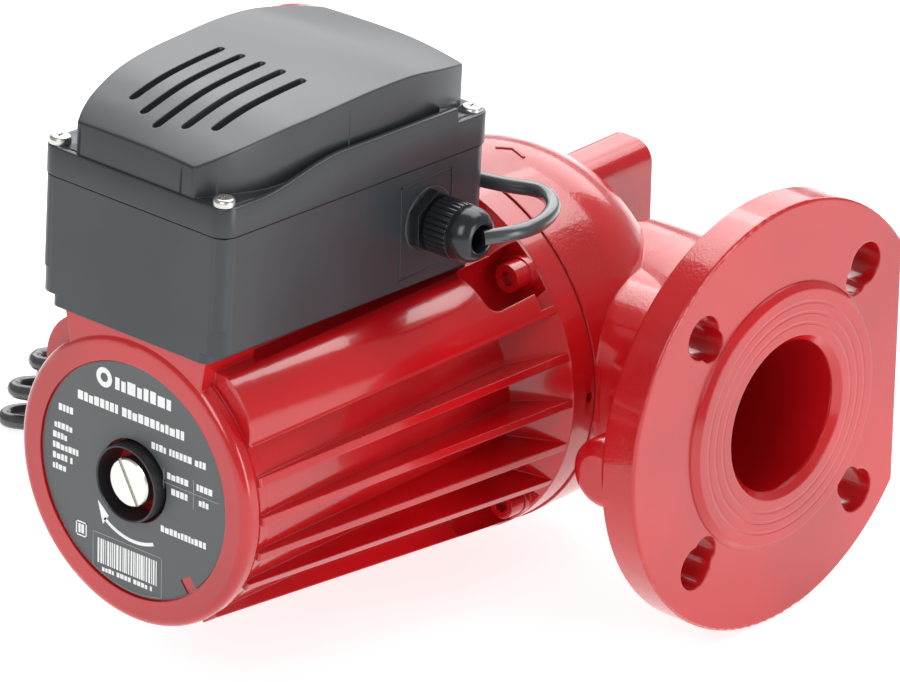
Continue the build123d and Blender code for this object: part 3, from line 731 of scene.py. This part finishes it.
    def screw_wells(self, shell: Shell) -> None:
        """Adds the four screw pillars that hang inside the skirt."""
        for x in (-44.3, 44.3):
            for y in (5.5, 152.8):
                outer = np.array([2.1, 3.9, 3.9, 2.1, 2.1])
                along = np.array([0.1, 0.1, 11.0, 11.0, 0.1])
                a = np.linspace(0, 2 * np.pi, 24, endpoint=False)
                grid = np.stack([x + outer[:, None] * np.cos(a), y + outer[:, None] * np.sin(a),
                                 np.broadcast_to(along[:, None], (5, 24))], -1)
                shell.grid(from_box(grid), close_cols=True)

    def build(self) -> bpy.types.Object:
        """Makes the cover, which stands for its solid."""
        shell = Shell()
        self.skirt(shell)
        self.dome(shell)
        self.screw_wells(shell)
        made = shell.piece("terminal_box_cover_skin", "cover", self.finishes.get("slate_moulding"))
        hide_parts("terminal_box_cover")
        return made


# ------------------------------------------------------------------ gland, lead and plug


@dataclass
class CableGland:
    """Ribbed cap nut with a domed nose, and the raised square that frames the gland on the box."""

    finishes: Finishes
    y: float = -107.0
    z: float = 90.5
    nut_r: float = 12.0
    ribs: int = 30
    lead_r: float = 3.25

    def nut(self) -> bpy.types.Object:
        """The nut: radius over length, with ribs as a rounded wave round its barrel and a plain domed nose."""
        along = np.array([54.0, 54.0, 54.4, 55.0, 60.0, 65.3, 65.8, 66.0, 66.6, 68.0, 70.0, 72.0, 73.8, 75.2, 75.9,
                          76.0, 75.6, 74.0, 66.0, 54.0])
        radius = np.array([9.0, 11.2, 11.8, 12.0, 12.0, 11.9, 11.6, 11.0, 11.6, 11.75, 11.5, 10.9, 9.9, 8.5, 7.2,
                           6.6, 5.9, 5.4, 5.2, 9.0])
        a = np.linspace(0.0, 2.0 * np.pi, self.ribs * 8, endpoint=False)
        wave = np.sqrt(np.abs(np.sin(a * self.ribs / 2.0)))
        on_barrel = ((along > 54.3) & (along < 65.7)).astype(float)
        grid = radius[:, None] - 0.75 * on_barrel[:, None] * (1.0 - wave[None, :])
        shell = Shell()
        shell.turned(along, grid, (0.0, self.y, self.z), (1.0, 0.0, 0.0), len(a))
        made = shell.piece("gland_cap_nut", "root", self.finishes.get("black_nylon"), Edge.MOULDED)
        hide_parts("gland_nut")
        return made

    def frame(self) -> bpy.types.Object:
        """Thin raised square on the side of the box round the gland."""
        shell = Shell()
        x0, x1, t = 46.4, 47.05, 0.5
        y0, y1, z0, z1 = self.y - 16.5, self.y + 14.5, self.z - 22.5, self.z + 18.5
        shell.bar((x0, y0, z0), (x1, y0 + t, z1))
        shell.bar((x0, y1 - t, z0), (x1, y1, z1))
        shell.bar((x0, y0, z0), (x1, y1, z0 + t))
        shell.bar((x0, y0, z1 - t), (x1, y1, z1))
        along = np.array([46.3, 47.3, 47.7, 47.7, 46.3])
        shell.turned(along, np.array([14.2, 14.2, 13.8, 8.5, 8.5]), (0.0, self.y, self.z), (1.0, 0.0, 0.0), 72)
        return shell.piece("gland_seat_frame", "root", self.finishes.get("slate_moulding"))


@dataclass
class SupplyLead:
    """The supply lead: out of the gland, round the pump, into a loose coil and on to its plug."""

    finishes: Finishes
    diameter: float = 6.5
    route: tuple = ((76.0, -106.0, 91.0), (83.0, -97.0, 92.0), (83.5, -84.0, 90.8), (79.0, -69.5, 89.5),
                    (70.0, -55.5, 88.5), (56.0, -48.0, 87.8), (42.0, -53.5, 87.0), (20.0, -60.5, 88.0),
                    (-8.0, -58.5, 89.5), (-36.0, -56.0, 89.0), (-64.0, -57.0, 80.0), (-84.0, -62.0, 58.0),
                    (-97.0, -67.0, 31.0), (-103.0, -71.0, 2.0), (-107.0, -74.0, -27.0), (-113.0, -76.0, -54.0),
                    (-121.0, -76.0, -73.0), (-134.0, -71.0, -85.5), (-147.0, -59.0, -89.2), (-154.5, -46.0, -89.2))
    tail: tuple = ((-163.0, -33.0, -63.5), (-174.0, -18.0, -66.0), (-196.0, -4.0, -70.0), (-230.0, 1.0, -73.5),
                   (-256.0, 6.0, -74.0), (-266.0, 22.0, -74.0), (-258.0, 40.0, -74.0), (-240.0, 46.0, -74.0),
                   (-224.0, 46.0, -74.0))
    coil_centre: tuple = (-183.6, -59.9)
    coil_angle: float = math.radians(40.9)
    reach_right: float = 34.0
    reach_left: tuple = (36.5, 24.0, 32.5, 20.0, 23.5)
    turn_half_width: float = 9.5
    points_a_turn: int = 16

    def coil(self) -> list:
        """Points of the folded turns: long loops that run anticlockwise seen from above and climb as they go.

        A point of a loop lies at cos on the long way and sin on the short way, both drawn out towards a
        rectangle with rounded ends. The reach of the left end differs from turn to turn.
        """
        points = []
        d = (math.cos(self.coil_angle), math.sin(self.coil_angle))
        turns = len(self.reach_left)
        for index in range(1, turns * self.points_a_turn):
            turn = index / self.points_a_turn
            angle = 2.0 * math.pi * turn
            reach = self.reach_right if math.cos(angle) > 0 else self.reach_left[min(int(turn), turns - 1)]
            long_way = reach * math.copysign(abs(math.cos(angle)) ** 0.8, math.cos(angle))
            short_way = self.turn_half_width * math.copysign(abs(math.sin(angle)) ** 0.7, math.sin(angle))
            short_way += 0.7 * turn
            height = TABLE_Z + 3.3 + 6.5 * max(0.0, turn - 0.5)
            points.append((self.coil_centre[0] + long_way * d[0] - short_way * d[1],
                           self.coil_centre[1] + long_way * d[1] + short_way * d[0], height))
        return points

    def build(self, plug: bpy.types.Object) -> bpy.types.Object:
        points = np.array(list(self.route) + self.coil() + list(self.tail))
        line = bpy.data.curves.new("supply_lead", "CURVE")
        line.dimensions = "3D"
        spline = line.splines.new("NURBS")
        spline.points.add(len(points) - 1)
        placed = np.concatenate([to_row(points), np.ones((len(points), 1))], 1)
        spline.points.foreach_set("co", placed.astype(np.float32).ravel())
        spline.order_u = 3
        spline.use_endpoint_u = True
        spline.resolution_u = 10
        line.bevel_depth = self.diameter / 2000.0
        line.bevel_resolution = 5
        line.use_fill_caps = True
        line.materials.append(self.finishes.get("lead_jacket"))
        made = bpy.data.objects.new("supply_lead", line)
        bpy.context.scene.collection.objects.link(made)
        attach(made, "root")
        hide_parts("power_lead", "lead_coil", "lead_tail")
        length = self.length(made)
        log.info("supply lead: %.3f m", length)
        return made

    def length(self, lead: bpy.types.Object) -> float:
        """Length of the curve's own line, in metres, read from it with no thickness."""
        bare = lead.data.copy()
        bare.bevel_depth = 0.0
        holder = bpy.data.objects.new("measuring_line", bare)
        bpy.context.scene.collection.objects.link(holder)
        mesh = bpy.data.meshes.new_from_object(holder)
        line = np.zeros(len(mesh.vertices) * 3)
        mesh.vertices.foreach_get("co", line)
        bpy.data.objects.remove(holder)
        bpy.data.curves.remove(bare)
        bpy.data.meshes.remove(mesh)
        return float(np.linalg.norm(np.diff(line.reshape(-1, 3), axis=0), axis=1).sum())


@dataclass
class MainsPlug:
    """Round earthed plug with a gripped rim and a ringed strain relief."""

    finishes: Finishes
    y: float = 46.0
    z: float = -74.0
    back_x: float = -210.0
    front_x: float = -174.0
    radius: float = 18.4

    def build(self) -> bpy.types.Object:
        """Makes the plug: a profile of radius over length with grip flutes round its rim."""
        back, front = self.back_x, self.front_x
        sleeve_x = np.linspace(back - 14.0, back - 1.0, 40)
        sleeve_r = 5.3 + 3.4 * (sleeve_x - sleeve_x[0]) / 13.0 - 0.5 * (np.sin((sleeve_x - sleeve_x[0]) * 2.0) > 0.35)
        body_x = np.array([back, back + 2.0, back + 7.0, back + 12.0, back + 17.0, back + 20.0, back + 21.0,
                           back + 24.0, front - 2.0, front - 0.6, front, front, front - 2.5, front - 2.5])
        body_r = np.array([9.6, 12.4, 15.6, 17.2, 17.9, 18.1, 17.4, 17.4, 18.2, 18.0, 17.2, 15.4, 14.9, 0.0])
        along = np.concatenate([[back - 14.0], sleeve_x, body_x])
        radius = np.concatenate([[0.0], sleeve_r, body_r])
        a = np.linspace(0.0, 2.0 * np.pi, 144, endpoint=False)
        grip = smooth_step(along, back + 22.0, back + 24.0) * smooth_step(along, front - 1.0, front - 2.5)
        flutes = 0.45 * np.clip(np.cos(36.0 * a), 0.0, 1.0)
        grid = radius[:, None] - grip[:, None] * flutes[None, :]
        shell = Shell()
        shell.turned(along, grid, (0.0, self.y, self.z), (1.0, 0.0, 0.0), len(a))
        made = shell.piece("mains_plug_shell", "root", self.finishes.get("plug_rubber"))
        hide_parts("mains_plug")
        return made


# ------------------------------------------------------------------ rating label


@dataclass
class LabelPrint:
    """Generic print of the rating label: greeked words, a table, a turning arrow and plain bars."""

    finishes: Finishes
    face_y: float = -228.5
    ink: float = 0.10
    seed: int = 7

    def flat(self, shell: Shell, outline: np.ndarray) -> None:
        """Adds an outline (n, 2) of x and z as ink on the label."""
        xz = np.asarray(outline, float)
        ring = np.stack([xz[:, 0], np.full(len(xz), self.face_y + 0.02), xz[:, 1]], -1)
        shell.prism(ring, (0.0, -self.ink, 0.0))

    def block(self, shell: Shell, x0: float, x1: float, z0: float, z1: float) -> None:
        """Adds a rectangle of ink."""
        self.flat(shell, np.array([[x0, z0], [x1, z0], [x1, z1], [x0, z1]]))

    def words(self, shell: Shell, x0: float, x1: float, z: float, height: float, stroke: float) -> None:
        """Adds a greeked line: plain blocks of uneven width with gaps between words, from a seeded series."""
        series = np.random.default_rng(self.seed + int(x0 * 7 + z * 13) % 997)
        x, letters = x0, 0
        while x < x1 - stroke:
            width = stroke * (1.0 + 0.9 * series.random())
            top = z + height * (1.0 if series.random() > 0.25 else 0.86)
            self.block(shell, x, min(x + width, x1), z, top)
            letters += 1
            space = letters > 3 and series.random() > 0.72
            letters = 0 if space else letters
            x += width + stroke * (1.5 if space else 0.42)

    def arc(self, shell: Shell, radius: float, width: float, start: float, end: float, steps: int = 28) -> None:
        """Adds a curved band: two arcs of one centre joined at their ends, angles in degrees."""
        a = np.radians(np.linspace(start, end, steps))
        inner = np.stack([(radius - width / 2) * np.cos(a), (radius - width / 2) * np.sin(a)], -1)
        outer = np.stack([(radius + width / 2) * np.cos(a), (radius + width / 2) * np.sin(a)], -1)
        self.flat(shell, np.concatenate([inner, outer[::-1]]))

    def ring(self, shell: Shell, centre: tuple, outer: float, inner: float) -> None:
        """Adds a ring of ink in two halves."""
        for start in (0.0, 180.0):
            a = np.radians(np.linspace(start, start + 180.0, 20))
            circle = np.stack([np.cos(a), np.sin(a)], -1)
            band = np.concatenate([circle * outer, circle[::-1] * inner]) + np.array(centre)
            self.flat(shell, band)

    def bars(self, shell: Shell, x0: float, x1: float, z0: float, z1: float) -> None:
        """Adds a field of upright bars of uneven width, which encode nothing."""
        series = np.random.default_rng(self.seed)
        x = x0
        while x < x1:
            width = 0.35 + 0.85 * series.random()
            self.block(shell, x, min(x + width, x1), z0, z1)
            x += width + 0.3 + 0.45 * series.random()

    def collar(self) -> None:
        """Makes the black cup round the venting plug: a thin wall with a rounded rim."""
        along = np.array([5.0, 0.4, 0.0, 0.0, 0.4, 12.6, 12.6, 5.0])
        radius = np.array([16.6, 16.5, 16.2, 15.7, 15.3, 15.2, 16.6, 16.6])
        cup = Shell()
        cup.turned(along, radius, (0.0, -233.6, 0.0), (0.0, 1.0, 0.0), 96)
        made = cup.piece("plug_collar_cup", "root", self.finishes.get("black_collar"))
        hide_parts("plug_collar")

    def build(self) -> None:
        """Makes the collar, the white print and the thin grey rules."""
        self.collar()
        ink = Shell()
        self.ring(ink, (-16.6, 40.2), 4.3, 2.0)
        self.words(ink, -10.6, 20.6, 37.0, 5.4, 2.3)
        self.words(ink, -31.0, 30.0, 26.4, 3.9, 1.5)
        self.words(ink, -41.5, -32.5, 18.0, 3.0, 1.2)
        for z, end in ((9.8, -34.0), (5.2, -36.0), (0.6, -30.5), (-4.0, -33.5), (-8.6, -36.5)):
            self.words(ink, -44.6 if z < 5.5 else -43.8, end, z, 2.7, 1.1)
        self.words(ink, 9.5, 39.5, 17.4, 3.0, 1.2)
        self.words(ink, 18.2, 31.0, 7.0, 2.8, 1.15)
        self.words(ink, 34.2, 43.0, 7.0, 2.8, 1.15)
        self.words(ink, 20.5, 30.5, 0.6, 2.8, 1.15)
        self.words(ink, 35.5, 42.0, 0.6, 2.8, 1.15)
        self.words(ink, 15.0, 41.0, -17.4, 2.8, 1.15)
        self.arc(ink, 27.0, 1.5, -126.0, -66.0)
        tip, back = math.radians(-143.0), math.radians(-124.0)
        head = np.array([[24.6 * math.cos(tip), 24.6 * math.sin(tip)],
                         [29.9 * math.cos(back), 29.9 * math.sin(back)],
                         [24.2 * math.cos(back), 24.2 * math.sin(back)]])
        self.flat(ink, head)
        for box in ((-31.6, -25.6, -28.2, -27.6), (-31.6, -25.6, -34.2, -33.6), (-31.6, -31.0, -34.2, -27.6),
                    (-26.2, -25.6, -34.2, -27.6)):
            self.block(ink, *box)
        self.words(ink, -30.2, -26.8, -32.8, 4.0, 0.9)
        self.bars(ink, -19.5, 13.0, -42.6, -31.6)
        self.words(ink, -17.0, 11.5, -45.8, 2.0, 1.0)
        ink.piece("rating_label_print", "root", self.finishes.get("label_ink"), Edge.CRISP)
        rules = Shell()
        self.block(rules, 13.0, 46.0, 4.8, 5.1)
        self.block(rules, 16.2, 16.5, -2.0, 11.0)
        self.block(rules, 32.4, 32.7, -2.0, 11.0)
        for box in ((-22.2, 15.8, -29.6, -29.3), (15.5, 15.8, -47.2, -29.3), (-22.2, -21.9, -44.4, -29.3)):
            self.block(rules, *box)
        a = np.radians(np.linspace(-116.6, -71.5, 30))
        band = np.concatenate([np.stack([49.7 * np.cos(a), 49.7 * np.sin(a)], -1),
                               np.stack([49.45 * np.cos(a), 49.45 * np.sin(a)], -1)[::-1]])
        self.flat(rules, band)
        rules.piece("rating_label_rules", "root", self.finishes.get("label_line"), Edge.CRISP)


# ------------------------------------------------------------------ marks on the casing


@dataclass
class FlowMark:
    """Raised chevron on top of the casing that shows the way of flow."""

    finishes: Finishes
    radius: float = 79.5

    def build(self) -> bpy.types.Object:
        """Makes two short bars that meet at a point, laid on the round of the casing."""
        shell = Shell()
        for start, end in (((2.0, -14.2), (7.2, -9.4)), ((7.2, -9.4), (15.2, -11.4))):
            a, b = np.array(start), np.array(end)
            way = (b - a) / np.linalg.norm(b - a)
            side = np.array([-way[1], way[0]]) * 0.75
            t = np.linspace(0.0, 1.0, 8)[:, None]
            rows = []
            for offset, lift in ((-1.0, -0.6), (-0.75, 0.45), (0.75, 0.45), (1.0, -0.6)):
                xy = a + (b - a) * t + side * offset
                drop = np.where(xy[:, 1] > -14.0, 0.006 * (xy[:, 1] + 14.0) ** 2, 0.0)
                z = np.sqrt((self.radius - drop) ** 2 - xy[:, 0] ** 2) + lift
                rows.append(np.stack([xy[:, 0], xy[:, 1], z], -1))
            shell.grid(np.stack(rows), close_rows=True)
            for end_index in (0, -1):
                shell.add(np.stack([row[end_index] for row in rows]), [(0, 1, 2, 3)])
        return shell.piece("flow_mark", "root", self.finishes.get("red_enamel_die_cast"), Edge.SOFT)


# ------------------------------------------------------------------ studio


@dataclass
class Studio:
    """Camera, pale floor and soft light."""

    lens_over_width: float = 384.1132 / 36.0
    azimuth: float = math.radians(40.923)
    elevation: float = math.radians(24.568)
    roll: float = math.radians(1.389)
    aside: float = 24.877
    above: float = 12.3
    away: float = 3998.764

    def axes(self) -> tuple:
        """The camera's right, up and back directions."""
        a, e, r = self.azimuth, self.elevation, self.roll
        back = np.array([math.sin(a) * math.cos(e), -math.cos(a) * math.cos(e), math.sin(e)])
        right = np.cross([0.0, 0.0, 1.0], back)
        right = right / np.linalg.norm(right)
        up = np.cross(back, right)
        return (right * math.cos(r) + up * math.sin(r), -right * math.sin(r) + up * math.cos(r), back)

    def camera(self) -> None:
        """Sets the camera that sees the pump as it was drawn."""
        right, up, back = self.axes()
        data = bpy.data.cameras.new("view")
        data.sensor_width = 36.0
        data.lens = 36.0 * self.lens_over_width
        data.clip_start, data.clip_end = 0.1, 40.0
        made = bpy.data.objects.new("view", data)
        place = to_row(-self.aside * right - self.above * up + self.away * back)
        made.matrix_world = Matrix([[*row, p] for row, p in zip(np.stack([right, up, back], 1).tolist(), place)]
                                   + [[0.0, 0.0, 0.0, 1.0]])
        bpy.context.scene.collection.objects.link(made)
        bpy.context.scene.camera = made

    def floor(self) -> None:
        """Pale floor under the pump."""
        mesh = bpy.data.meshes.new("floor")
        s = 6.0
        z = TABLE_Z / 1000.0 - 0.0004
        mesh.from_pydata([(-s, -s, z), (s, -s, z), (s, s, z), (-s, s, z)], [], [(0, 1, 2, 3)])
        n = Nodes("floor_paper")
        n.finish(Base_Color=(0.56, 0.56, 0.56), Roughness=0.75 + n.noise(0.01, 2.0) * 0.05,
                 Emission_Color=(1.0, 1.0, 1.0), Emission_Strength=0.78)
        mesh.materials.append(n.material)
        made = bpy.data.objects.new("floor", mesh)
        bpy.context.scene.collection.objects.link(made)

    def lamp(self, name: str, place: tuple, size: tuple, power: float) -> None:
        """A soft box at a place in metres that faces the pump."""
        data = bpy.data.lights.new(name, "AREA")
        data.shape = "RECTANGLE"
        data.size, data.size_y = size
        data.energy = power
        made = bpy.data.objects.new(name, data)
        made.location = place
        aim = Vector((-0.15, -0.08, 0.02)) - Vector(place)
        made.rotation_euler = aim.to_track_quat("-Z", "Y").to_euler()
        bpy.context.scene.collection.objects.link(made)

    def build(self) -> None:
        """Sets the camera, the floor, the sky and the lamps."""
        self.camera()
        self.floor()
        world = bpy.data.worlds.new("studio")
        world.use_nodes = True
        sky = next(n for n in world.node_tree.nodes if n.type == "BACKGROUND")
        sky.inputs[0].default_value = (1.0, 1.0, 1.0, 1.0)
        sky.inputs[1].default_value = 0.36
        bpy.context.scene.world = world
        bpy.context.scene.view_settings.view_transform = "Standard"
        self.lamp("top_box", (-0.35, 0.55, 1.15), (1.5, 0.9), 17.0)
        self.lamp("back_box", (-1.0, 1.05, 0.75), (1.8, 1.0), 13.0)
        self.lamp("front_box", (0.35, -1.35, 0.95), (0.6, 0.9), 8.0)
        self.lamp("right_box", (1.25, 0.05, 0.30), (0.5, 0.8), 6.0)


def main() -> None:
    """Builds the pump's looks in order and reports each piece."""
    logging.basicConfig(level=logging.INFO, format="%(name)s %(message)s")
    Studio().build()
    finishes = Finishes()
    dress_nodes(finishes)
    plug = MainsPlug(finishes).build()
    SupplyLead(finishes).build(plug)
    TerminalBoxCover(finishes).build()
    gland = CableGland(finishes)
    gland.nut()
    gland.frame()
    LabelPrint(finishes).build()
    FlowMark(finishes).build()


if __name__ == "__main__":
    main()
